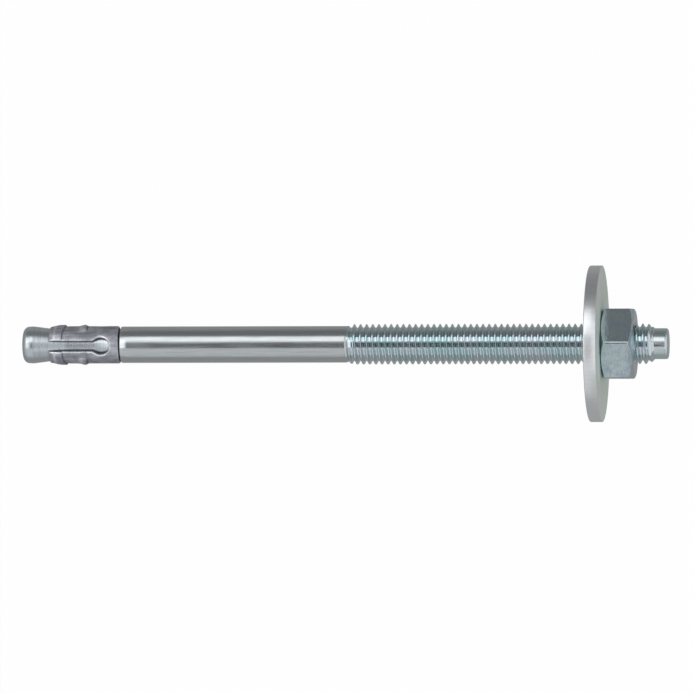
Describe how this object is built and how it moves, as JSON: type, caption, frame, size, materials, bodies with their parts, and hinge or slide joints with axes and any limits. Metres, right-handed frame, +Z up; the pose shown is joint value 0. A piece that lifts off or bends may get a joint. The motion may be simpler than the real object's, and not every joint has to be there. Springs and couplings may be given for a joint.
{
  "type": "wedge anchor",
  "caption": "Through-bolt expansion anchor lying on its side: coned bolt with a slotted sheet clip, smooth shank, threaded end, large washer and hexagon nut.",
  "frame": {"origin": "on the surface that the anchor lies on, under the middle of its box", "axes": "+X from the cone end towards the nut end, which is higher because the large washer carries it; +Z up"},
  "size_m": [0.158, 0.038, 0.0381],
  "materials": {
    "bolt_zinc": "bright zinc plating, cold formed and rolled",
    "clip_steel": "dull zinc plating on stamped sheet steel",
    "washer_zinc": "satin zinc plating on punched plate",
    "nut_zinc": "bright zinc plating with fine mottling"
  },
  "bodies": {
    "bolt": {"anchor_bolt": "bolt_zinc"},
    "clip": {"expansion_clip": "clip_steel"},
    "washer": {"washer": "washer_zinc"},
    "nut": {"hex_nut": "nut_zinc"}
  },
  "joints": [
    {"name": "clip_turn", "type": "hinge", "parent": "bolt", "child": "clip", "pos_m": [-0.05502, 0, 0.00676], "axis": [0.9949, 0, 0.1009], "continuous": true},
    {"name": "washer_slide", "type": "slide", "parent": "bolt", "child": "washer", "axis": [-0.9949, 0, -0.1009], "range_m": [-0.009, 0.06]},
    {"name": "nut_turn", "type": "hinge", "parent": "washer", "child": "nut", "pos_m": [0.06273, 0, 0.0187], "axis": [-0.9949, 0, -0.1009], "range_deg": [-2160, 14400]}
  ],
  "couplings": [
    {"joint": "nut_turn", "follows": "washer_slide", "rad_per_m": 4188.8}
  ]
}
